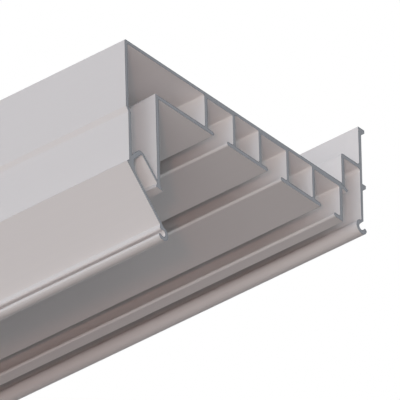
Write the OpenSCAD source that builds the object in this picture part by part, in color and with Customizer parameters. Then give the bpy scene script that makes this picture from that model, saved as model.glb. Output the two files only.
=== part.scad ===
// Triple curtain track: a wide aluminium section with three glider channels, a deep front
// fascia with a light pocket, and a wall flange. Gliders and stops sit in the channels.
// X runs across the track from the room to the wall, Y along it, Z up. The origin is on the
// top face, over the middle channel's centre line, half way along the track.

/* [Track] */
// Length of the cut piece of track
track_len = 400; // [360:1:3000]
// Distance between the centre lines of neighbouring channels
channel_pitch = 25; // [20:0.5:40]
// Clear width inside a channel
channel_w = 11.8; // [11.4:0.1:14]
// Clear height inside a channel
channel_h = 10.7; // [10.4:0.1:14]
// Width of the slot that a glider's neck runs in
slot_w = 6; // [5.6:0.1:6.6]
// Thickness of the lips on both sides of a slot
lip_t = 1.4; // [1:0.1:2]
// Thickness of the top plate between the channels
plate_t = 1.2; // [1:0.05:1.8]
// Thickness of the top plate over a channel
roof_t = 1.85; // [1.4:0.05:2.5]
// Thickness of the webs inside the row of channels
web_t = 1.1; // [0.8:0.1:2]
// Thickness of the first and of the last web
outer_web_t = 1.3; // [0.8:0.1:2]
// Fillet radius inside the chambers
fillet_r = 0.5; // [0.2:0.1:1]
// Radius on the top front corner
corner_r = 0.6; // [0.2:0.1:1]

/* [Front fascia] */
// Clear width between the fascia and the first web
front_bay_w = 35.6; // [28:0.1:60]
// Thickness of the fascia
fascia_t = 1.2; // [1:0.1:2]
// Depth under the top face at which the fascia steps inwards
jog_depth = 23.9; // [18:0.1:30]
// How far the fascia steps inwards
jog_in = 1; // [0.5:0.1:2]
// Height of that step
jog_h = 1.5; // [1:0.1:3]
// Clear width between the lower fascia and the inner wall
cell_w = 11.65; // [10:0.05:14]
// Thickness of the inner wall
inner_wall_t = 1.35; // [1:0.05:2]
// Depth of the sloped plate's upper front edge under the top face
tip_depth = 43.45; // [42:0.05:60]
// Angle of the sloped plate below the horizontal
slope_angle = 46; // [42:0.5:50]
// Thickness of the sloped plate
slope_t = 1.2; // [1:0.1:2]
// Length along the sloped plate from its upper edge to the ceiling groove
slope_len = 23.85; // [22:0.05:40]

/* [Light pocket] */
// Height of the pocket riser's root over the sloped plate's upper front edge
riser_root_h = 3.2; // [2.6:0.1:4]
// Straight length of the riser
riser_len = 4.1; // [3:0.1:5]
// Thickness of the riser
riser_t = 1.6; // [1:0.1:1.8]
// Outer radius of the bend between the riser and the arm
bend_r = 1.85; // [1.8:0.05:2.5]
// Thickness of the arm
arm_t = 1; // [0.8:0.1:1.4]
// Angle of the arm below the horizontal
arm_angle = 44; // [42:0.5:48]
// Height of the barb under the inner wall
barb_h = 1.5; // [1.2:0.1:2.5]
// How far the barb stands out behind the inner wall
barb_out = 1.2; // [0.5:0.1:2]

/* [Ceiling grooves] */
// Radius of the two grooves for a ceiling's edge strip
groove_r = 1.1; // [0.8:0.05:1.5]
// Wall around the grooves
groove_wall = 1.35; // [1:0.05:1.8]
// How far the front groove's centre stands outside the sloped plate's face
groove_out = 0.85; // [0.4:0.05:1.2]
// Distance along the sloped plate from the front groove's centre to its upper lip's root
lip_root = 2.8; // [2.6:0.1:3.6]

/* [Wall flange] */
// Clear width of the cable channel between the box wall and the flange
box_w = 7.6; // [6:0.1:20]
// Height of the box above the track's top face
box_h = 10.9; // [6:0.1:15]
// Thickness of the box wall
box_wall_t = 1.3; // [1:0.1:2]
// Thickness of the box top
box_top_t = 1.35; // [1:0.05:2]
// Outer radius of the box's corner
box_r = 0.9; // [0.4:0.1:1]
// Thickness of the flange under the box top
flange_t = 1; // [0.8:0.1:2]
// Thickness of the flange above the box top
flange_top_t = 1.35; // [1:0.05:2]
// Height of the flange above the track's top face
flange_h = 24.75; // [22:0.25:40]
// Depth of the rear groove's centre under the top face
rear_groove_depth = 11.4; // [9:0.1:14]
// How far the two beads stand out towards the wall
bead_out = 1.6; // [1:0.1:3]
// Height of a bead at its outer face
bead_h = 1.1; // [0.8:0.1:2]
// Height of the chamfer under a bead
bead_chamfer = 1.4; // [1:0.1:2]
// Height of the lower bead's top above the track's top face
low_bead_z = 4.65; // [3.5:0.05:8]
// Depth of the rebate that the box wall stands in
rebate = 0.6; // [0.3:0.05:0.8]
// How far the plate's tongue reaches past the box wall
tongue_out = 1.5; // [0.8:0.1:3]

/* [Fixing holes] */
// Diameter of the screw holes
screw_hole_d = 4.5; // [3.5:0.1:5]
// Distance of the ceiling screw holes from the ends of the track
ceiling_hole_inset = 50; // [20:1:54]
// Distance of the wall screw holes from the ends of the track
wall_hole_inset = 80; // [20:1:160]
// Height of the wall screw holes above the track's top face
wall_hole_z = 17; // [15:0.5:18]

/* [Gliders] */
// Diameter of the wheels
wheel_d = 9; // [8:0.1:9.8]
// Width of a wheel
wheel_w = 2.2; // [1.6:0.1:2.3]
// Diameter of the axles
axle_d = 2; // [1.6:0.1:2.4]
// Clearance between a wheel and the lip that it runs on
run_gap = 0.2; // [0.1:0.05:0.3]
// Clearance between the neck and each side of the slot
neck_play = 0.5; // [0.3:0.05:0.7]
// Length of a glider's body
glider_len = 18; // [14:0.5:24]
// Height of the body's boss under the slot
boss_h = 3.6; // [3:0.1:6]
// Clear diameter of the hook eye
eye_d = 6.6; // [6.4:0.1:9]
// Thickness of the eye's ring
eye_wire = 1.8; // [1.4:0.1:2.4]
// Diameter of the eye's stem
stem_d = 2.6; // [2:0.1:2.8]
// Rest positions of the first gliders in the front, middle and rear channels
glider_1_y = [10, -5, 20]; // [-20:1:40]
// Rest positions of the second gliders in the front, middle and rear channels
glider_2_y = [80, 65, 95]; // [60:1:115]

/* [Stops] */
// Length of a stop along the channel
stop_len = 10; // [8:0.5:14]
// Clearance around a stop inside its channel
stop_play = 0.4; // [0.2:0.05:0.6]
// Nominal diameter of the clamp screw
clamp_d = 4; // [3:0.5:5]
// Distance from the near end of the track to the near stops' centres
near_stop_inset = 160; // [60:1:165]
// Distance from the far end of the track to the far stops' centres
far_stop_inset = 65; // [62:1:80]

/* [Hidden] */
$fn = 48;
CHANNELS = ["front", "middle", "rear"];
ENDS = ["near", "far"];
NODES = concat(
    ["track_profile", "wall_flange_profile"],
    [for (c = CHANNELS, g = ["1", "2"], p = ["body", "axle", "wheel_left", "wheel_right", "eye"])
        str(c, "_glider_", g, "_", p)],
    [for (c = CHANNELS, e = ENDS) str(c, "_stop_", e)],
    [for (c = CHANNELS, e = ENDS) str(c, "_stop_screw_", e)]
);
node = "all";

weld = 0.05;            // overlap where two shapes of one solid meet
shaft_play = 0.06;      // radial clearance of a shaft that turns
press_play = 0.02;      // radial clearance of a fixed shaft
seat_gap = 0.3;         // clearance between a moving piece and its seat

// Levels of the channels
roof_z = -roof_t;
lip_top = roof_z - channel_h;
lip_bottom = lip_top - lip_t;

// Places across the track
last_web_x = channel_pitch + channel_w / 2 + outer_web_t;
first_web_x = -last_web_x;
front_x = first_web_x - front_bay_w - fascia_t;
lower_front_x = front_x + jog_in;
lower_inner_x = lower_front_x + fascia_t;
wall_x0 = lower_inner_x + cell_w;
wall_x1 = wall_x0 + inner_wall_t;
box_x = last_web_x + box_wall_t;
flange_x = box_x + box_w;
flange_out_x = flange_x + flange_t;

// The sloped plate, from its upper edge down to the front groove
slope_dir = [cos(slope_angle), -sin(slope_angle)];
slope_up = [sin(slope_angle), cos(slope_angle)];
tip = [front_x, -tip_depth];
front_groove = tip + slope_len * slope_dir - groove_out * slope_up;
groove_out_r = groove_r + groove_wall;
groove_mid_r = groove_r + groove_wall / 2;
groove_end_r = groove_wall / 2 - 0.02;
groove_reach = 4 * groove_out_r;
rear_groove = [flange_x, -rear_groove_depth];

// Angles at which the grooves' walls end, and the rear mouth's direction
front_lip_angle = 114;
front_end_angle = -133;
rear_end_angle = 342;
rear_mouth_angle = 45;
tongue_drop = 0.4;

// The pocket's riser, bend and arm
riser_dir = [cos(45), sin(45)];
riser_up = [-sin(45), cos(45)];
riser_root = [lower_inner_x, riser_root_h - tip_depth];
bend = riser_root + riser_len * riser_dir - bend_r * riser_up;
arm_up = [sin(arm_angle), cos(arm_angle)];
arm_start = bend + bend_r * arm_up;
function arm_z(x) = arm_start[1] - (x - arm_start[0]) * tan(arm_angle);
arm_drop = arm_t / cos(arm_angle);
bend_in_r = 0.5;

// The gliders
wheel_z = lip_top + run_gap + wheel_d / 2;
neck_w = slot_w - 2 * neck_play;
wheel_x = neck_w / 2 + seat_gap;
foot_top = lip_bottom - seat_gap;
foot_t = 1.6;
foot_overhang = 1.2;
foot_bottom = foot_top - foot_t;
foot_w = slot_w + 2 * foot_overhang;
body_over_axle = 2;
body_r = 1.6;
boss_bottom = foot_bottom - boss_h;
boss_wall = 1.9;
boss_r = stem_d / 2 + boss_wall;
hub_wall = 0.9;
rim_wall = 1;
tread_bevel = 0.3;
dish = 0.5;
axle_head_t = 0.3;
axle_head_out = 0.4;
stem_head_out = 0.6;
stem_head_r = stem_d / 2 + stem_head_out;
chamber_play = 0.2;
chamber_floor = foot_bottom + foot_t + 0.4;
head_h = 1.2;
head_cone_h = 0.8;
collar_t = 1;
collar_r = boss_r - 0.4;
eye_r = (eye_d + eye_wire) / 2;
collar_bottom = boss_bottom - seat_gap - collar_t;
eye_z = collar_bottom - eye_r + eye_wire / 4;

// The stops
near_stop_y = near_stop_inset - track_len / 2;
far_stop_y = track_len / 2 - far_stop_inset;
stop_roof_gap = 1.2;
stop_r = fillet_r + 0.2;
stop_top = roof_z - stop_roof_gap;
clamp_r = clamp_d / 2;
clamp_l = 10;
clamp_tip_h = 0.5;
clamp_tip_in = 0.6;
socket_af = clamp_d / 2;
socket_depth = 2.5;

function channel_x(c) = (c - 1) * channel_pitch;
function glider_y(c, g) = g == 0 ? glider_1_y[c] : glider_2_y[c];
function stop_y(e) = e == 0 ? near_stop_y : far_stop_y;
// Points of an arc about a centre, from one angle to another
function arc(centre, r, from, to, steps) =
    [for (i = [0:steps]) let (a = from + (to - from) * i / steps) centre + r * [cos(a), sin(a)]];

// A rectangle with round corners, between two corners in the section
module rounded(x0, x1, z0, z1, r) {
    translate([x0 + r, z0]) square([x1 - x0 - 2 * r, z1 - z0]);
    translate([x0, z0 + r]) square([x1 - x0, z1 - z0 - 2 * r]);
    for (x = [x0 + r, x1 - r], z = [z0 + r, z1 - r]) translate([x, z]) circle(r);
}

// The filling of an inside corner that opens towards dx, dz
module fillet(x, z, r, dx, dz) {
    difference() {
        translate([dx > 0 ? x - weld : x - r, dz > 0 ? z - weld : z - r]) square(r + weld);
        translate([x + dx * r, z + dz * r]) circle(r);
    }
}

// A round groove's wall, from one angle to another, with round ends
module groove(centre, from, to) {
    difference() {
        translate(centre) circle(groove_out_r);
        translate(centre) circle(groove_r);
        polygon(concat([centre], arc(centre, groove_reach, to, from + 360, 4)));
    }
    for (a = [from, to]) translate(centre + groove_mid_r * [cos(a), sin(a)]) circle(groove_end_r);
}

// Turns a section drawn in X and Z into a bar of a given length about Y = 0
module along_track(len) {
    translate([0, len / 2, 0]) rotate([90, 0, 0]) linear_extrude(len) children();
}

// The three channels, the closed chambers between them and the lips, without their voids
module channel_block() {
    difference() {
        translate([wall_x0, lip_bottom]) square([last_web_x - wall_x0, -lip_bottom]);
        rounded(wall_x0 - 2 * fillet_r, first_web_x, lip_top, -plate_t, fillet_r);
        for (c = [0:2]) translate([channel_x(c), 0]) {
            rounded(-channel_w / 2, channel_w / 2, lip_top, roof_z, fillet_r);
            translate([-(slot_w + lip_t) / 2, lip_bottom - weld])
                square([slot_w + lip_t, lip_t + 2 * weld]);
        }
        for (c = [0:1]) translate([channel_x(c) + channel_pitch / 2, 0]) {
            half = (channel_pitch - channel_w) / 2 - web_t;
            rounded(-half, half, lip_top, -plate_t, fillet_r);
        }
    }
    for (c = [0:2], s = [-1, 1])
        translate([channel_x(c) + s * (slot_w + lip_t) / 2, lip_bottom + lip_t / 2])
            circle(lip_t / 2);
}

// The top plate in front of the channels and the stepped fascia
module fascia_section() {
    inner_x = front_x + fascia_t;
    translate([front_x + corner_r, -plate_t])
        square([wall_x0 - front_x - corner_r + weld, plate_t]);
    translate([front_x + corner_r, -corner_r]) circle(corner_r);
    polygon([
        [front_x, -corner_r], [front_x, -jog_depth], [lower_front_x, -jog_depth - jog_h],
        [lower_front_x, -tip_depth + slope_t / 2], [lower_inner_x, -tip_depth - slope_t],
        [lower_inner_x, -jog_depth - jog_h], [inner_x, -jog_depth], [inner_x, -plate_t],
        [front_x + corner_r, -plate_t], [front_x + corner_r, -corner_r]
    ]);
    fillet(inner_x, -plate_t, fillet_r, 1, -1);
}

// The inner wall behind the fascia, down to the pocket's arm
module inner_wall_section() {
    translate([wall_x0, arm_z(wall_x1)]) square([inner_wall_t, lip_bottom + weld - arm_z(wall_x1)]);
    fillet(wall_x1, lip_bottom, fillet_r, 1, -1);
}

// The pocket: riser, bend and arm, and the barb under the inner wall
module pocket_section() {
    root_x = lower_inner_x - fascia_t / 2;
    inner_root = riser_root - riser_t * riser_up;
    inner_corner = bend + (bend_r - riser_t) * riser_up + (bend_r - arm_t) * riser_dir;
    inner_bend = inner_corner - bend_in_r * (riser_up + arm_up);
    foot_z = arm_z(wall_x1) - barb_h;
    polygon(concat(
        [riser_root, [root_x, riser_root[1]], [root_x, inner_root[1]], inner_root],
        arc(inner_bend, bend_in_r, 135, 90 - arm_angle, 4),
        [[wall_x1, arm_z(wall_x1) - arm_drop], [wall_x1, arm_z(wall_x1)]],
        arc(bend, bend_r, 90 - arm_angle, 135, 10)
    ));
    polygon([
        [root_x, -tip_depth - slope_t], [lower_inner_x + riser_t, -tip_depth - 2 * slope_t],
        [lower_inner_x + 1, inner_root[1] - riser_t], inner_root + [weld, weld],
        [root_x, inner_root[1] + weld]
    ]);
    polygon([
        [wall_x1 + barb_out, foot_z], [wall_x1, arm_z(wall_x1) + weld],
        [wall_x0, arm_z(wall_x0) - arm_drop / 2], [wall_x0 - inner_wall_t / 2, foot_z]
    ]);
}

// The sloped plate and the groove along its lower edge
module sloped_section() {
    end = tip + (slope_len - groove_r) * slope_dir;
    polygon([tip, end, end + slope_t * slope_up, tip + slope_t * slope_up]);
    polygon([
        end + slope_t * slope_up, end, front_groove + groove_r * slope_up,
        front_groove + groove_out_r * [cos(10), sin(10)]
    ]);
    lip = front_groove + groove_mid_r * [cos(front_lip_angle), sin(front_lip_angle)];
    polygon([tip + (slope_len - lip_root) * slope_dir, lip - [groove_end_r, 0], lip, end]);
    groove(front_groove, front_end_angle, front_lip_angle);
}

// The tongue at the plate's rear end, under the box wall's foot
module tongue_section() {
    nose_x = box_x + 0.6 * tongue_out;
    polygon([
        [last_web_x - weld, -rebate], [last_web_x - weld, -roof_t - tongue_drop / 2],
        [nose_x, -roof_t - tongue_drop], [box_x + tongue_out, -0.8 * roof_t],
        [nose_x, -rebate - tongue_drop], [box_x, -rebate]
    ]);
}

module track_profile() {
    color("lightgray")
    difference() {
        along_track(track_len) union() {
            channel_block();
            fascia_section();
            inner_wall_section();
            pocket_section();
            sloped_section();
            tongue_section();
        }
        for (c = [0, 2], s = [-1, 1])
            translate([channel_x(c), s * (track_len / 2 - ceiling_hole_inset), roof_z - weld])
                cylinder(d = screw_hole_d, h = roof_t + 2 * weld);
    }
}

// A bead on the flange's wall side, with its top at a height
module bead_section(top) {
    polygon([
        [flange_out_x - weld, top], [flange_out_x - weld, top - bead_h - bead_chamfer],
        [flange_out_x, top - bead_h - bead_chamfer], [flange_out_x + bead_out, top - bead_h],
        [flange_out_x + bead_out, top]
    ]);
}

// The rear groove and the flange above it, up to the box top
module rear_groove_section() {
    difference() {
        union() {
            translate([flange_x, groove_r - rear_groove_depth])
                square([flange_t, box_h + rear_groove_depth - groove_r]);
            groove(rear_groove, 90, rear_end_angle);
            fillet(flange_x, groove_out_r - rear_groove_depth - weld / 2, fillet_r, -1, 1);
        }
        translate(rear_groove) rotate(rear_mouth_angle) square([groove_reach, groove_r]);
    }
}

module flange_section() {
    translate([last_web_x, -rebate]) square([box_wall_t, box_h + rebate - box_r]);
    translate([last_web_x + box_r, box_h - box_top_t])
        square([flange_x - last_web_x - box_r + weld, box_top_t]);
    intersection() {
        translate([last_web_x + box_r, box_h - box_r]) circle(box_r);
        translate([last_web_x, box_h - box_r]) square(box_r + weld);
    }
    translate([last_web_x + box_wall_t / 2, box_h - box_top_t])
        square([box_wall_t / 2 + weld, box_top_t / 2]);
    fillet(box_x, box_h - box_top_t, fillet_r, 1, -1);
    fillet(flange_x, box_h - box_top_t, 2 * fillet_r, -1, -1);
    fillet(flange_out_x - flange_top_t, box_h, 2 * fillet_r, -1, 1);
    translate([flange_out_x - flange_top_t, box_h - box_top_t])
        square([flange_top_t, flange_h - box_h + box_top_t]);
    bead_section(flange_h);
    bead_section(low_bead_z);
    rear_groove_section();
}

module wall_flange_profile() {
    color("silver")
    difference() {
        along_track(track_len) flange_section();
        for (s = [-1, 1])
            translate([flange_out_x + weld, s * (track_len / 2 - wall_hole_inset), wall_hole_z])
                rotate([0, -90, 0]) cylinder(d = screw_hole_d, h = flange_top_t + flange_t + weld);
    }
}

// Moves a glider's piece, drawn about X = 0 and Y = 0, to its channel and rest position
module at_glider(c, g) {
    translate([channel_x(c), glider_y(c, g), 0]) children();
}

module glider_body(c, g) {
    half = glider_len / 2;
    head_top = wheel_z + axle_d / 2 + body_over_axle;
    color("whitesmoke") at_glider(c, g)
    difference() {
        union() {
            translate([-neck_w / 2, 0, 0]) rotate([90, 0, 90]) linear_extrude(neck_w)
                rounded(-half, half, foot_top - weld, head_top, body_r);
            translate([-foot_w / 2, 0, 0]) rotate([90, 0, 90]) linear_extrude(foot_w)
                rounded(-half, half, foot_bottom, foot_top, foot_t / 2 - weld);
            translate([0, 0, boss_bottom]) cylinder(r = boss_r, h = boss_h + weld);
        }
        translate([-neck_w, 0, wheel_z]) rotate([0, 90, 0])
            cylinder(d = axle_d + 2 * shaft_play, h = 2 * neck_w);
        translate([0, 0, boss_bottom - weld])
            cylinder(d = stem_d + 2 * shaft_play, h = chamber_floor - boss_bottom + 2 * weld);
        translate([0, 0, chamber_floor])
            cylinder(r = stem_head_r + chamber_play, h = head_h + head_cone_h + 2 * seat_gap);
    }
}

module glider_axle(c, g) {
    half = wheel_x + wheel_w;
    color("gray") at_glider(c, g) translate([0, 0, wheel_z]) rotate([0, 90, 0]) {
        translate([0, 0, -half]) cylinder(d = axle_d, h = 2 * half);
        for (s = [-1, 1]) translate([0, 0, s * (half + axle_head_t / 2)])
            cylinder(r = axle_d / 2 + axle_head_out, h = axle_head_t, center = true);
    }
}

// A wheel whose flat side faces the body: side is -1 for the left and 1 for the right
module glider_wheel(c, g, side) {
    r = wheel_d / 2;
    bore_r = axle_d / 2 + press_play;
    hub_r = axle_d / 2 + hub_wall;
    rim_r = r - rim_wall;
    color("white") at_glider(c, g) translate([side * wheel_x, 0, wheel_z])
    rotate([0, side * 90, 0]) rotate_extrude() polygon([
        [bore_r, 0], [r - tread_bevel, 0], [r, tread_bevel], [r, wheel_w - tread_bevel],
        [r - tread_bevel, wheel_w], [rim_r, wheel_w], [rim_r, wheel_w - dish],
        [hub_r, wheel_w - dish], [hub_r, wheel_w], [bore_r, wheel_w]
    ]);
}

// The swivel eye: a ring under a collar, and a stem whose head hangs in the body
module glider_eye(c, g) {
    head_z = chamber_floor + shaft_play;
    color("whitesmoke") at_glider(c, g) {
        translate([0, 0, collar_bottom]) cylinder(d = stem_d, h = head_z - collar_bottom + weld);
        translate([0, 0, head_z]) cylinder(r = stem_head_r, h = head_h);
        translate([0, 0, head_z + head_h - weld])
            cylinder(r1 = stem_head_r, r2 = stem_d / 2, h = head_cone_h);
        translate([0, 0, collar_bottom]) cylinder(r = collar_r, h = collar_t);
        translate([0, 0, eye_z]) rotate([90, 0, 0]) rotate_extrude()
            translate([eye_r, 0]) circle(d = eye_wire);
    }
}

module at_stop(c, e) {
    translate([channel_x(c), stop_y(e), 0]) children();
}

// A stop: a block on the lips with a rib in the slot, bored for its clamp screw
module channel_stop(c, e) {
    half_w = channel_w / 2 - stop_play;
    rib_w = slot_w - 2 * stop_play;
    color("dimgray") at_stop(c, e)
    difference() {
        union() {
            along_track(stop_len) rounded(-half_w, half_w, lip_top, stop_top, stop_r);
            along_track(stop_len) translate([-rib_w / 2, lip_bottom + stop_play / 2])
                square([rib_w, lip_t + weld]);
        }
        translate([0, 0, lip_bottom - weld])
            cylinder(r = clamp_r, h = stop_top - lip_bottom + 2 * weld);
    }
}

// A clamp screw, driven from below against the channel's roof
module stop_screw(c, e) {
    shank_r = clamp_r - shaft_play;
    color("darkgray") at_stop(c, e)
    difference() {
        union() {
            translate([0, 0, roof_z - clamp_l]) cylinder(r = shank_r, h = clamp_l - clamp_tip_h);
            translate([0, 0, roof_z - clamp_tip_h - weld])
                cylinder(r1 = shank_r, r2 = clamp_r - clamp_tip_in, h = clamp_tip_h + weld);
        }
        translate([0, 0, roof_z - clamp_l - weld])
            cylinder(d = socket_af / cos(30), h = socket_depth, $fn = 6);
    }
}

function shown(name) = node == "all" || node == name;

if (shown("track_profile")) track_profile();
if (shown("wall_flange_profile")) wall_flange_profile();
for (c = [0:2], g = [0:1]) {
    glider = str(CHANNELS[c], "_glider_", g + 1, "_");
    if (shown(str(glider, "body"))) glider_body(c, g);
    if (shown(str(glider, "axle"))) glider_axle(c, g);
    if (shown(str(glider, "wheel_left"))) glider_wheel(c, g, -1);
    if (shown(str(glider, "wheel_right"))) glider_wheel(c, g, 1);
    if (shown(str(glider, "eye"))) glider_eye(c, g);
}
for (c = [0:2], e = [0:1]) {
    if (shown(str(CHANNELS[c], "_stop_", ENDS[e]))) channel_stop(c, e);
    if (shown(str(CHANNELS[c], "_stop_screw_", ENDS[e]))) stop_screw(c, e);
}
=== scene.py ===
"""Looks of a triple curtain track: two satin aluminium profiles, gliders, stops and their screws.

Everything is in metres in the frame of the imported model: X from the room to the wall, Y along the
track, Z up. The camera looks at the near cut end from below and from the room side.
"""

import logging
import math
from dataclasses import dataclass
from enum import Enum
from typing import Any, Optional, Union

import bmesh
import bpy
from mathutils import Matrix, Vector


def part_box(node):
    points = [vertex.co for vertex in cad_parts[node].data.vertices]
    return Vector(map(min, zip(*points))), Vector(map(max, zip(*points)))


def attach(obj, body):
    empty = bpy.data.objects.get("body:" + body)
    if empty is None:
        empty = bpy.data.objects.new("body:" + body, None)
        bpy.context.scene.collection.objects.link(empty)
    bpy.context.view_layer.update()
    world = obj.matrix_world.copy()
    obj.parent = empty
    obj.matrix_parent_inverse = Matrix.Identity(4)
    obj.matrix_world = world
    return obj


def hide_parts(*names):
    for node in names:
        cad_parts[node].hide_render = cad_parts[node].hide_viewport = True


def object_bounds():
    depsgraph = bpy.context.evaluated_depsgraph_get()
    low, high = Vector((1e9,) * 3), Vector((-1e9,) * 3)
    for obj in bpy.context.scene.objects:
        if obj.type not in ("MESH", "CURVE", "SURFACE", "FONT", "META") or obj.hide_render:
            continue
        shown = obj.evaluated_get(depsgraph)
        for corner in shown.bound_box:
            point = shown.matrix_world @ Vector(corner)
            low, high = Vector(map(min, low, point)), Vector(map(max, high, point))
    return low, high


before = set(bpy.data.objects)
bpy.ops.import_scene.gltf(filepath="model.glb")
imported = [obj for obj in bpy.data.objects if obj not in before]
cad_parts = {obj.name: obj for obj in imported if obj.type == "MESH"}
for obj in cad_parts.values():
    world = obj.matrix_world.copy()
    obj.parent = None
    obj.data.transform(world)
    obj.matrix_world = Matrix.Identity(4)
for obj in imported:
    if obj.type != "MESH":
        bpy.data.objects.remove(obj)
CAD_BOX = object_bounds()
MM = 0.001
MERGE_WITHIN = 0.001 * MM
WELD = 0.05 * MM
GLIDERS_A_CHANNEL = 2

log = logging.getLogger("curtain_track")

Colour = tuple[float, float, float]
Point = tuple[float, float, float]
Number = Union[int, float]

WHITE: Colour = (1.0, 1.0, 1.0)


class Channel(Enum):
    """The three glider channels, from the room to the wall."""

    FRONT = "front"
    MIDDLE = "middle"
    REAR = "rear"


class TrackEnd(Enum):
    """The two ends of the track: near is the cut end that the camera sees."""

    NEAR = "near"
    FAR = "far"


class BarFace(Enum):
    """The faces of an extruded bar, as the number of their material."""

    SKIN = 0
    CUT = 1
    EDGE = 2


class Side(Enum):
    """The side of a glider's body that a wheel runs on, as a factor of X."""

    LEFT = -1
    RIGHT = 1


class Value:
    """A shader socket that takes part in Python expressions.

    Args:
        graph: The material graph that the socket's node belongs to.
        socket: The output socket.
    """

    def __init__(self, graph: "Graph", socket: bpy.types.NodeSocket) -> None:
        """Keeps the graph and the socket."""
        self.graph = graph
        self.socket = socket

    def _math(self, operation: str, *values: Union["Value", Number]) -> "Value":
        """Adds one Math node on the values."""
        made = self.graph.node("ShaderNodeMath", {"operation": operation}, dict(enumerate(values)))
        return Value(self.graph, made.outputs[0])

    def __add__(self, other: Union["Value", Number]) -> "Value":
        """Sum."""
        return self._math("ADD", self, other)

    __radd__ = __add__

    def __mul__(self, other: Union["Value", Number]) -> "Value":
        """Product."""
        return self._math("MULTIPLY", self, other)

    __rmul__ = __mul__

    def __sub__(self, other: Union["Value", Number]) -> "Value":
        """Difference."""
        return self._math("SUBTRACT", self, other)

    def __rsub__(self, other: Number) -> "Value":
        """Difference with the number first."""
        return self._math("SUBTRACT", other, self)

    def largest(self, other: Union["Value", Number]) -> "Value":
        """The larger of two values."""
        return self._math("MAXIMUM", self, other)


class Graph:
    """The node graph of a material, of the world or of a repeated pattern.

    Args:
        tree: The node tree to fill. It is emptied first.
    """

    def __init__(self, tree: bpy.types.NodeTree) -> None:
        """Empties the tree."""
        self.tree = tree
        tree.nodes.clear()

    def node(
        self,
        kind: str,
        settings: Optional[dict[str, Any]] = None,
        inputs: Optional[dict[Union[int, str], Any]] = None,
    ) -> bpy.types.Node:
        """Adds a node.

        Args:
            kind: The node's type.
            settings: The node's own settings, set before its sockets.
            inputs: Socket name or number to what feeds it.

        Returns:
            The new node.
        """
        made = self.tree.nodes.new(kind)
        for name, setting in (settings or {}).items():
            setattr(made, name, setting)
        for key, entry in (inputs or {}).items():
            self._feed(made.inputs[key], entry)
        return made

    def _feed(self, socket: bpy.types.NodeSocket, entry: Any) -> None:
        """Links or sets one socket.

        Args:
            socket: The input socket.
            entry: A Value, an output socket, a number, a vector or a colour. A colour of three
                numbers becomes opaque.
        """
        if isinstance(entry, Value):
            entry = entry.socket
        if isinstance(entry, bpy.types.NodeSocket):
            self.tree.links.new(entry, socket)
        elif socket.type == "RGBA" and len(entry) == 3:
            socket.default_value = (*entry, 1.0)
        else:
            socket.default_value = entry

    def place(
        self, scale: Point = (1.0, 1.0, 1.0), turn: Point = (0.0, 0.0, 0.0)
    ) -> bpy.types.NodeSocket:
        """The object's own coordinates, turned and then scaled by axis.

        Args:
            scale: Factor for each axis.
            turn: Rotation about each axis, in degrees.

        Returns:
            The vector socket.
        """
        coordinates = self.node("ShaderNodeTexCoord").outputs["Object"]
        mapping = self.node(
            "ShaderNodeMapping",
            {},
            {"Vector": coordinates, "Rotation": tuple(map(math.radians, turn)), "Scale": scale},
        )
        return mapping.outputs[0]

    def noise(
        self, where: bpy.types.NodeSocket, scale: float, detail: float, rough: float = 0.5
    ) -> Value:
        """Cloudy noise from 0 to 1.

        Args:
            where: The vector that the noise is read at.
            scale: Cells for each unit of the vector.
            detail: Number of finer octaves.
            rough: Weight of the finer octaves.

        Returns:
            The noise value.
        """
        made = self.node(
            "ShaderNodeTexNoise",
            {},
            {"Vector": where, "Scale": scale, "Detail": detail, "Roughness": rough},
        )
        return Value(self, made.outputs[0])

    def blend(self, amount: Union[Value, float], low: Any, high: Any) -> bpy.types.NodeSocket:
        """A colour between two colours.

        Args:
            amount: 0 for the first colour and 1 for the second.
            low: The first colour, or its socket.
            high: The second colour, or its socket.

        Returns:
            The colour socket.
        """
        made = self.node("ShaderNodeMix", {"data_type": "RGBA"}, {0: amount})
        ends = {"A": low, "B": high}
        for socket in made.inputs:
            if socket.type == "RGBA" and socket.name in ends:
                self._feed(socket, ends[socket.name])
        return next(socket for socket in made.outputs if socket.type == "RGBA")

    def bump(self, height: Value, strength: float, distance: float) -> bpy.types.NodeSocket:
        """A normal that is tilted by a height.

        Args:
            height: The height, from 0 to 1.
            strength: Share of the full effect.
            distance: Height of 1, in metres.

        Returns:
            The normal socket.
        """
        made = self.node(
            "ShaderNodeBump", {}, {"Strength": strength, "Distance": distance, "Height": height}
        )
        return made.outputs[0]

    def surface(self, inputs: dict[str, Any], constants: dict[str, Any]) -> None:
        """Ends the graph in a Principled shader.

        Args:
            inputs: Socket name to what varies over the surface.
            constants: Socket name to a plain number or colour.
        """
        shader = self.node("ShaderNodeBsdfPrincipled", {}, {**constants, **inputs})
        self.node("ShaderNodeOutputMaterial", {}, {"Surface": shader.outputs[0]})


def shade(colour: Colour, factor: float) -> Colour:
    """A colour times a factor."""
    return (colour[0] * factor, colour[1] * factor, colour[2] * factor)


def around(colour: Colour, share: float) -> tuple[Colour, Colour]:
    """The colours that lie a share below and a share above a colour."""
    return shade(colour, 1 - share), shade(colour, 1 + share)


def swinging(value: Value, middle: float, swing: float) -> Value:
    """A value from 0 to 1 spread about a middle, over a swing."""
    return value * swing + (middle - swing / 2)


def new_material(name: str) -> tuple[bpy.types.Material, Graph]:
    """A material with an empty graph.

    Args:
        name: The material's name.

    Returns:
        The material and its graph.
    """
    made = bpy.data.materials.new(name)
    made.use_nodes = True
    return made, Graph(made.node_tree)


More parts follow.
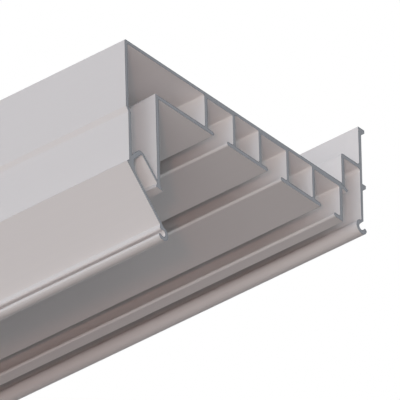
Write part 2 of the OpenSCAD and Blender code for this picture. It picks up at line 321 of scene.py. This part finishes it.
@dataclass(frozen=True)
class SatinSkin:
    """The light satin finish of the drawn surfaces, with faint die lines along the track."""

    name: str = "satin_skin"
    colour: Colour = (0.643, 0.612, 0.602)
    line_scale: float = 900.0
    line_stretch: float = 0.006
    line_detail: float = 3.0
    line_roughness: float = 0.6
    line_share: float = 0.012
    cloud_scale: float = 26.0
    cloud_stretch: float = 0.25
    cloud_detail: float = 4.0
    cloud_share: float = 0.012
    specular: float = 0.12
    roughness: float = 0.46
    roughness_swing: float = 0.08
    bump_share: float = 0.5
    line_height: float = 0.004 * MM

    def material(self) -> bpy.types.Material:
        """Builds the material.

        Returns:
            The material.
        """
        made, graph = new_material(self.name)
        along = graph.place((1.0, self.line_stretch, 1.0))
        lines = graph.noise(along, self.line_scale, self.line_detail, self.line_roughness)
        drawn_out = graph.place((1.0, self.cloud_stretch, 1.0))
        clouds = graph.noise(drawn_out, self.cloud_scale, self.cloud_detail)
        share = self.line_share + self.cloud_share
        tone = lines * (self.line_share / share) + clouds * (self.cloud_share / share)
        graph.surface(
            {
                "Base Color": graph.blend(tone, *around(self.colour, share)),
                "Roughness": swinging(lines, self.roughness, self.roughness_swing),
                "Normal": graph.bump(lines, self.bump_share, self.line_height),
            },
            {"Metallic": 0.0, "Specular IOR Level": self.specular},
        )
        return made


@dataclass(frozen=True)
class SawnCut:
    """The bare cut across the bar, with the slanting marks of the saw's teeth; its dark blue-grey
    colour is painted shade.
    """

    name: str = "sawn_cut_painted_shade"
    # Painted shade: the cut is drawn far darker and bluer than bare metal, to stand for the shade on
    # it. The saw marks and grain are its own.
    colour: Colour = (0.2, 0.205, 0.214)
    mark_scale: float = 1500.0
    mark_stretch: float = 0.05
    mark_angle: float = -38.0
    mark_weight: float = 0.75
    grain_scale: float = 5000.0
    detail: float = 2.0
    tone_share: float = 0.2
    specular: float = 0.35
    roughness: float = 0.5
    roughness_swing: float = 0.12
    bump_share: float = 0.4
    mark_height: float = 0.01 * MM

    def material(self) -> bpy.types.Material:
        """Builds the material.

        Returns:
            The material.
        """
        made, graph = new_material(self.name)
        slanted = graph.place((1.0, 1.0, self.mark_stretch), (0.0, self.mark_angle, 0.0))
        marks = graph.noise(slanted, self.mark_scale, self.detail)
        grain = graph.noise(graph.place(), self.grain_scale, self.detail)
        tone = marks * self.mark_weight + grain * (1 - self.mark_weight)
        graph.surface(
            {
                "Base Color": graph.blend(tone, *around(self.colour, self.tone_share)),
                "Roughness": swinging(marks, self.roughness, self.roughness_swing),
                "Normal": graph.bump(marks, self.bump_share, self.mark_height),
            },
            {"Metallic": 0.0, "Specular IOR Level": self.specular},
        )
        return made


@dataclass(frozen=True)
class MouldedPlastic:
    """Acetal or nylon from a fine-eroded mould."""

    name: str
    colour: Colour
    grain_scale: float = 4200.0
    grain_detail: float = 3.0
    cloud_scale: float = 240.0
    cloud_detail: float = 2.0
    cloud_share: float = 0.03
    specular: float = 0.5
    roughness: float = 0.42
    roughness_swing: float = 0.1
    bump_share: float = 0.35
    grain_height: float = 0.006 * MM

    def material(self) -> bpy.types.Material:
        """Builds the material.

        Returns:
            The material.
        """
        made, graph = new_material(self.name)
        grain = graph.noise(graph.place(), self.grain_scale, self.grain_detail)
        clouds = graph.noise(graph.place(), self.cloud_scale, self.cloud_detail)
        graph.surface(
            {
                "Base Color": graph.blend(clouds, *around(self.colour, self.cloud_share)),
                "Roughness": swinging(grain, self.roughness, self.roughness_swing),
                "Normal": graph.bump(grain, self.bump_share, self.grain_height),
            },
            {"Metallic": 0.0, "Specular IOR Level": self.specular},
        )
        return made


@dataclass(frozen=True)
class SmallMetal:
    """Plated steel or cast zinc of the small parts."""

    name: str
    colour: Colour
    metallic: float
    roughness: float
    grain_scale: float = 3000.0
    grain_detail: float = 4.0
    grain_roughness: float = 0.6
    patch_scale: float = 250.0
    patch_detail: float = 2.0
    patch_weight: float = 0.6
    tone_share: float = 0.12
    roughness_swing: float = 0.14
    bump_share: float = 0.4
    grain_height: float = 0.008 * MM

    def material(self) -> bpy.types.Material:
        """Builds the material.

        Returns:
            The material.
        """
        made, graph = new_material(self.name)
        grain = graph.noise(graph.place(), self.grain_scale, self.grain_detail, self.grain_roughness)
        patches = graph.noise(graph.place(), self.patch_scale, self.patch_detail)
        tone = patches * self.patch_weight + grain * (1 - self.patch_weight)
        graph.surface(
            {
                "Base Color": graph.blend(tone, *around(self.colour, self.tone_share)),
                "Roughness": swinging(patches, self.roughness, self.roughness_swing),
                "Normal": graph.bump(grain, self.bump_share, self.grain_height),
            },
            {"Metallic": self.metallic},
        )
        return made


class Finishes:
    """Every material of the track, made once."""

    def __init__(self) -> None:
        """Makes the materials."""
        self.skin = SatinSkin().material()
        self.cut = SawnCut().material()
        # The rim round each cut is a darker copy of the cut's finish: painted shade along the broken
        # edge.
        self.edge = SawnCut(name="broken_edge_painted_shade", colour=(0.11, 0.12, 0.13)).material()
        self.acetal = MouldedPlastic("white_acetal", (0.78, 0.78, 0.76)).material()
        self.nylon = MouldedPlastic("natural_nylon", (0.68, 0.675, 0.65), roughness=0.34).material()
        self.steel = SmallMetal(
            "plated_steel", (0.62, 0.63, 0.64), metallic=1.0, roughness=0.3
        ).material()
        self.zinc = SmallMetal(
            "cast_zinc", (0.36, 0.37, 0.38), metallic=0.7, roughness=0.52
        ).material()


def new_piece(name: str, mesh: bpy.types.Mesh) -> bpy.types.Object:
    """An object at the origin that holds a mesh.

    Args:
        name: The piece's name.
        mesh: Its mesh, with its place in it.

    Returns:
        The object, in the scene.
    """
    made = bpy.data.objects.new(name, mesh)
    bpy.context.scene.collection.objects.link(made)
    return made


def merged_copy(node: str) -> bmesh.types.BMesh:
    """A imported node's mesh with its doubled vertices joined.

    Args:
        node: The node's name.

    Returns:
        The mesh, which the caller frees.
    """
    shape = bmesh.new()
    shape.from_mesh(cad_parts[node].data)
    bmesh.ops.remove_doubles(shape, verts=shape.verts, dist=MERGE_WITHIN)
    return shape


def converted(piece: bpy.types.Object) -> None:
    """Takes what the piece's modifiers make as its own mesh.

    Args:
        piece: The object to convert.
    """
    graph = bpy.context.evaluated_depsgraph_get()
    finished = bpy.data.meshes.new_from_object(
        piece.evaluated_get(graph), preserve_all_data_layers=True, depsgraph=graph
    )
    piece.modifiers.clear()
    piece.data = finished


def weigh_normals(piece: bpy.types.Object) -> None:
    """Adds the modifier that keeps large faces flat beside rounded edges.

    Args:
        piece: The object, whose modifiers are converted later.
    """
    weighting = piece.modifiers.new("large_faces_flat", "WEIGHTED_NORMAL")
    weighting.keep_sharp = True
    weighting.mode = "FACE_AREA"


@dataclass
class SmallPiece:
    """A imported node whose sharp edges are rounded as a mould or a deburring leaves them."""

    node: str
    body: str
    slot: str
    edge_radius: float
    edge_segments: int = 2
    sharp_angle: float = math.radians(38)
    flat_angle: float = math.radians(0.4)

    def build(self, material: bpy.types.Material) -> bpy.types.Object:
        """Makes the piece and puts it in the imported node's place.

        Args:
            material: Its finish.

        Returns:
            The piece.
        """
        shape = merged_copy(self.node)
        bmesh.ops.dissolve_limit(
            shape, angle_limit=self.flat_angle, verts=shape.verts, edges=shape.edges
        )
        for face in shape.faces:
            face.smooth = True
        mesh = bpy.data.meshes.new(f"{self.node}_finished")
        shape.to_mesh(mesh)
        shape.free()
        mesh.materials.append(material)
        piece = new_piece(f"{self.node}_finished", mesh)
        rounding = piece.modifiers.new("rounded_edges", "BEVEL")
        rounding.width = self.edge_radius
        rounding.segments = self.edge_segments
        rounding.limit_method = "ANGLE"
        rounding.angle_limit = self.sharp_angle
        weigh_normals(piece)
        converted(piece)
        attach(piece, self.body)
        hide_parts(self.node)
        return piece


@dataclass
class ExtrudedProfile:
    """One extruded bar, sawn at both ends, with the sharp edges of the cuts broken.

    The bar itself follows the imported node. Only its cut ends are remade.
    """

    node: str
    body: str
    edge_width: float = 0.2 * MM
    edge_depth: float = 0.05 * MM
    smooth_angle: float = math.radians(32)

    def build(self, finishes: Finishes) -> bpy.types.Object:
        """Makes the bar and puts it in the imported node's place.

        Args:
            finishes: The materials.

        Returns:
            The piece.
        """
        shape = merged_copy(self.node)
        for face in shape.faces:
            face.material_index = BarFace.SKIN.value
            face.smooth = True
        for end in (-1, 1):
            self._break_edges(shape, end)
        mesh = bpy.data.meshes.new(f"{self.node}_bar")
        shape.to_mesh(mesh)
        shape.free()
        mesh.set_sharp_from_angle(angle=self.smooth_angle)
        for material in (finishes.skin, finishes.cut, finishes.edge):
            mesh.materials.append(material)
        bar = new_piece(f"{self.node}_bar", mesh)
        weigh_normals(bar)
        converted(bar)
        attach(bar, self.body)
        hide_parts(self.node)
        return bar

    def _break_edges(self, shape: bmesh.types.BMesh, end: int) -> None:
        """Insets one cut face and sets its rim back.

        Args:
            shape: The bar.
            end: -1 for the near end and 1 for the far end.
        """
        reach = max(v.co.y * end for v in shape.verts)
        nearly = reach - MERGE_WITHIN
        caps = {f for f in shape.faces if all(v.co.y * end > nearly for v in f.verts)}
        edges = {e for f in caps for e in f.edges if not caps.issuperset(e.link_faces)}
        rim = {v for e in edges for v in e.verts}
        made = bmesh.ops.inset_region(
            shape,
            faces=list(caps),
            thickness=self.edge_width,
            use_even_offset=True,
            use_boundary=True,
        )
        # The cut and its rim take the finishes with painted shade.
        for face in caps:
            face.material_index = BarFace.CUT.value
            face.smooth = False
        for face in made["faces"]:
            face.material_index = BarFace.EDGE.value
            face.smooth = False
        for vertex in rim:
            vertex.co.y -= end * self.edge_depth


class Repeater:
    """A Geometry Nodes group that repeats one bar along a step or about the X axis."""

    INPUTS = {
        "Count": "NodeSocketInt",
        "First": "NodeSocketVector",
        "Step": "NodeSocketVector",
        "Turn": "NodeSocketFloat",
        "Size": "NodeSocketVector",
        "Offset": "NodeSocketVector",
        "Finish": "NodeSocketMaterial",
    }

    def __init__(self) -> None:
        """Makes the group: bars on points, realised and given their material."""
        self.group = bpy.data.node_groups.new("repeated_bars", "GeometryNodeTree")
        interface = self.group.interface
        interface.new_socket("Geometry", in_out="OUTPUT", socket_type="NodeSocketGeometry")
        self.keys = {
            name: interface.new_socket(name, in_out="INPUT", socket_type=kind).identifier
            for name, kind in self.INPUTS.items()
        }
        graph = Graph(self.group)
        given = graph.node("NodeGroupInput").outputs
        index = graph.node("GeometryNodeInputIndex").outputs[0]
        along = graph.node(
            "ShaderNodeVectorMath", {"operation": "SCALE"}, {0: given["Step"], "Scale": index}
        )
        place = graph.node(
            "ShaderNodeVectorMath", {"operation": "ADD"}, {0: given["First"], 1: along.outputs[0]}
        )
        points = graph.node(
            "GeometryNodePoints", {}, {"Count": given["Count"], "Position": place.outputs[0]}
        )
        bar = graph.node("GeometryNodeMeshCube", {}, {"Size": given["Size"]})
        moved = graph.node(
            "GeometryNodeTransform", {}, {"Geometry": bar.outputs[0], "Translation": given["Offset"]}
        )
        angle = graph.node(
            "ShaderNodeMath", {"operation": "MULTIPLY"}, {0: given["Turn"], 1: index}
        )
        turn = graph.node("ShaderNodeCombineXYZ", {}, {"X": angle.outputs[0]})
        bars = graph.node(
            "GeometryNodeInstanceOnPoints",
            {},
            {"Points": points.outputs[0], "Instance": moved.outputs[0], "Rotation": turn.outputs[0]},
        )
        real = graph.node("GeometryNodeRealizeInstances", {}, {"Geometry": bars.outputs[0]})
        done = graph.node(
            "GeometryNodeSetMaterial", {}, {"Geometry": real.outputs[0], "Material": given["Finish"]}
        )
        graph.node("NodeGroupOutput", {}, {0: done.outputs[0]})

    def build(self, name: str, body: str, slot: str, values: dict[str, Any]) -> bpy.types.Object:
        """Makes one piece of repeated bars.

        Args:
            name: The piece's name.
            body: The body that it rides on.
            slot: The material slot that it belongs to. Not used.
            values: Input name to its value.

        Returns:
            The piece.
        """
        piece = new_piece(name, bpy.data.meshes.new(name))
        modifier = piece.modifiers.new("repeat", "NODES")
        modifier.node_group = self.group
        for key, value in values.items():
            modifier[self.keys[key]] = value
        converted(piece)
        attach(piece, body)
        return piece


@dataclass
class Wheel:
    """A glider's wheel, whose outer dish is stiffened by radial ribs."""

    glider: str
    side: Side
    hub_radius: float = 1.9 * MM
    rim_width: float = 1.0 * MM
    dish: float = 0.5 * MM
    rib_count: int = 6
    rib_width: float = 0.45 * MM
    rib_below_rim: float = 0.1 * MM
    edge_radius: float = 0.1 * MM

    def build(self, finishes: Finishes, repeater: Repeater) -> None:
        """Makes the wheel and its ribs.

        Args:
            finishes: The materials.
            repeater: The group that repeats the ribs.
        """
        node = f"{self.glider}_wheel_{self.side.name.lower()}"
        body = f"{self.glider}_wheels"
        SmallPiece(node, body, "wheel_plastic", self.edge_radius).build(finishes.nylon)
        low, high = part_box(node)
        centre = (low + high) / 2
        face_x = high.x if self.side is Side.RIGHT else low.x
        depth = self.dish - self.rib_below_rim
        middle_x = face_x - self.side.value * (self.dish - depth / 2)
        rim_radius = (high.z - low.z) / 2 - self.rim_width
        length = rim_radius - self.hub_radius + 2 * WELD
        repeater.build(
            f"{node}_ribs",
            body,
            "wheel_plastic",
            {
                "Count": self.rib_count,
                "First": (middle_x, centre.y, centre.z),
                "Turn": math.tau / self.rib_count,
                "Size": (depth + WELD, length, self.rib_width),
                "Offset": (0.0, (rim_radius + self.hub_radius) / 2, 0.0),
                "Finish": finishes.nylon,
            },
        )


@dataclass
class Glider:
    """A wheeled glider with its swivel eye and the grip ribs under its foot."""

    channel: Channel
    number: int
    body_edge: float = 0.2 * MM
    fine_edge: float = 0.08 * MM
    foot_bottom: float = -15.85 * MM
    rib_count: int = 4
    rib_pitch: float = 1.0 * MM
    rib_size: Point = (5.6 * MM, 0.4 * MM, 0.3 * MM)
    first_rib: float = 4.2 * MM

    def build(self, finishes: Finishes, repeater: Repeater) -> None:
        """Makes the glider's pieces.

        Args:
            finishes: The materials.
            repeater: The group that repeats the ribs.
        """
        name = f"{self.channel.value}_glider_{self.number}"
        eye = f"{name}_eye"
        SmallPiece(f"{name}_body", name, "glider_plastic", self.body_edge).build(finishes.acetal)
        SmallPiece(eye, eye, "glider_plastic", self.fine_edge).build(finishes.acetal)
        SmallPiece(f"{name}_axle", f"{name}_wheels", "axle_steel", self.fine_edge).build(
            finishes.steel
        )
        for side in Side:
            Wheel(name, side).build(finishes, repeater)
        low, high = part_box(f"{name}_body")
        centre = (low + high) / 2
        for end, label in ((-1, "near"), (1, "far")):
            repeater.build(
                f"{name}_grip_{label}",
                name,
                "glider_plastic",
                {
                    "Count": self.rib_count,
                    "First": (centre.x, centre.y + end * self.first_rib, self.foot_bottom),
                    "Step": (0.0, end * self.rib_pitch, 0.0),
                    "Size": self.rib_size,
                    "Finish": finishes.acetal,
                },
            )


@dataclass
class ChannelStop:
    """A clamped stop and its screw."""

    channel: Channel
    end: TrackEnd
    stop_edge: float = 0.25 * MM
    screw_edge: float = 0.12 * MM

    def build(self, finishes: Finishes) -> None:
        """Makes the stop and its screw.

        Args:
            finishes: The materials.
        """
        stop = f"{self.channel.value}_stop_{self.end.value}"
        screw = f"{self.channel.value}_stop_screw_{self.end.value}"
        SmallPiece(stop, "track", "stop_zinc", self.stop_edge).build(finishes.zinc)
        SmallPiece(screw, "track", "axle_steel", self.screw_edge).build(finishes.steel)


def direction(bearing: float, height: float) -> Vector:
    """The way from the track towards a bearing and a height.

    Args:
        bearing: Degrees about Z. 0 is before the near cut end and 270 is the room side.
        height: Degrees above the level.

    Returns:
        A vector of length 1.
    """
    a, e = math.radians(bearing), math.radians(height)
    return Vector((math.sin(a) * math.cos(e), -math.cos(a) * math.cos(e), math.sin(e)))


@dataclass(frozen=True)
class FarLamp:
    """A lamp so far away that its light is the same over the whole track.

    The spread is the lamp's own width in the sky, in degrees.
    """

    name: str
    bearing: float
    height: float
    power: float
    colour: Colour = WHITE
    spread: float = 40.0

    def build(self) -> bpy.types.Object:
        """Makes the lamp.

        Returns:
            The lamp.
        """
        towards = direction(self.bearing, self.height)
        lamp = bpy.data.lights.new(self.name, "SUN")
        lamp.energy = self.power
        lamp.color = self.colour
        lamp.angle = math.radians(self.spread)
        made = bpy.data.objects.new(self.name, lamp)
        bpy.context.scene.collection.objects.link(made)
        made.location = towards
        made.rotation_euler = towards.to_track_quat("Z", "Y").to_euler()
        return made


@dataclass
class Studio:
    """Camera, lamps, white surroundings and a pale floor under the track."""

    azimuth: float = 308.975
    elevation: float = -34.02
    roll: float = -1.352
    lens: float = 1600.0
    sensor: float = 36.0
    frame_width: float = 118.06 * MM
    aim: Point = (-35.407 * MM, -200.0 * MM, -40.468 * MM)
    clip_start: float = 0.1
    clip_reach: float = 3.0
    floor_gap: float = 3.0 * MM
    floor_width: float = 6.0
    floor_colour: Colour = (0.86, 0.86, 0.86)
    floor_glow: float = 0.22
    ambient: Colour = (0.01, 0.01, 0.01)
    lamps: tuple[FarLamp, ...] = (
        FarLamp("warm_key", 304.4, -30.8, 0.34, (1.0, 0.46, 0.33), 2.5),
        FarLamp("low_left", 300.0, -40.0, 0.6, (1.0, 0.91, 0.88)),
        FarLamp("left_front", 300.0, -15.0, 0.54, (0.83, 1.0, 0.98)),
        FarLamp("before_cut_left", 330.0, -15.0, 1.64, (0.915, 0.955, 1.0)),
        FarLamp("before_cut_right", 30.0, -15.0, 0.9, (0.84, 0.91, 1.0)),
        FarLamp("room_side", 270.0, 10.0, 0.83, (0.845, 0.92, 1.0)),
        FarLamp("high_left", 300.0, 35.0, 0.4, (0.54, 0.72, 1.0)),
        FarLamp("overhead", 100.0, 78.0, 0.5),
        FarLamp("wall_side", 110.0, 36.0, 1.2, spread=15.0),
        FarLamp("beyond_far_end", 185.0, 22.0, 1.2),
    )

    def camera(self) -> bpy.types.Object:
        """Makes the camera at the photographed angle.

        Returns:
            The camera.
        """
        data = bpy.data.cameras.new("camera")
        data.lens = self.lens
        data.sensor_width = self.sensor
        back = direction(self.azimuth, self.elevation)
        distance = self.frame_width * self.lens / self.sensor
        made = bpy.data.objects.new("camera", data)
        bpy.context.scene.collection.objects.link(made)
        level = (-back).to_track_quat("-Z", "Y").to_matrix()
        turn = Matrix.Rotation(math.radians(self.roll), 3, "Z")
        stand = Matrix.Translation(Vector(self.aim) + back * distance)
        made.matrix_world = stand @ (level @ turn).to_4x4()
        data.clip_start = self.clip_start
        data.clip_end = distance * self.clip_reach
        bpy.context.scene.camera = made
        return made

    def surroundings(self) -> None:
        """White where the camera, gloss and glass look, and a soft ambient light for the rest."""
        world = bpy.data.worlds.new("surroundings")
        bpy.context.scene.world = world
        world.use_nodes = True
        graph = Graph(world.node_tree)
        path = graph.node("ShaderNodeLightPath")
        seen = Value(graph, path.outputs["Is Camera Ray"])
        for name in ("Is Glossy Ray", "Is Transmission Ray"):
            seen = seen.largest(Value(graph, path.outputs[name]))
        colour = graph.blend(seen, self.ambient, WHITE)
        light = graph.node("ShaderNodeBackground", {}, {"Color": colour, "Strength": 1.0})
        graph.node("ShaderNodeOutputWorld", {}, {"Surface": light.outputs[0]})

    def floor(self) -> bpy.types.Object:
        """Makes the floor, which is seen from above only and keeps the track's shadow.

        Returns:
            The floor.
        """
        low = CAD_BOX[0].z - self.floor_gap
        half = self.floor_width / 2
        mesh = bpy.data.meshes.new("floor")
        corners = [(-half, -half, low), (half, -half, low), (half, half, low), (-half, half, low)]
        mesh.from_pydata(corners, [], [(0, 1, 2, 3)])
        made, graph = new_material("pale_floor")
        path = graph.node("ShaderNodeLightPath")
        below = Value(graph, graph.node("ShaderNodeNewGeometry").outputs["Backfacing"])
        shown = Value(graph, path.outputs["Is Camera Ray"]) * (1 - below)
        paint = graph.node("ShaderNodeBsdfDiffuse", {}, {"Color": self.floor_colour})
        glow = graph.node("ShaderNodeEmission", {}, {"Strength": self.floor_glow})
        pale = graph.node("ShaderNodeAddShader", {}, {0: paint.outputs[0], 1: glow.outputs[0]})
        clear = graph.node("ShaderNodeBsdfTransparent")
        mixed = graph.node(
            "ShaderNodeMixShader", {}, {0: shown, 1: clear.outputs[0], 2: pale.outputs[0]}
        )
        graph.node("ShaderNodeOutputMaterial", {}, {"Surface": mixed.outputs[0]})
        mesh.materials.append(made)
        floor = new_piece("floor", mesh)
        return floor

    def build(self) -> None:
        """Makes the whole studio."""
        bpy.context.scene.view_settings.view_transform = "Standard"
        self.camera()
        self.surroundings()
        for lamp in self.lamps:
            lamp.build()
        self.floor()


def main() -> None:
    """Builds the studio and dresses every piece."""
    logging.basicConfig(level=logging.INFO, format="%(message)s")
    Studio().build()
    finishes = Finishes()
    repeater = Repeater()
    for node in ("track_profile", "wall_flange_profile"):
        bar = ExtrudedProfile(node, "track").build(finishes)
        log.info("%s: %d faces", bar.name, len(bar.data.polygons))
    for channel in Channel:
        for number in range(1, GLIDERS_A_CHANNEL + 1):
            Glider(channel, number).build(finishes, repeater)
            log.info("%s glider %d: body, axle, two ribbed wheels and eye", channel.value, number)
        for end in TrackEnd:
            ChannelStop(channel, end).build(finishes)
            log.info("%s stop and screw, %s end", channel.value, end.value)


if __name__ == "__main__":
    main()
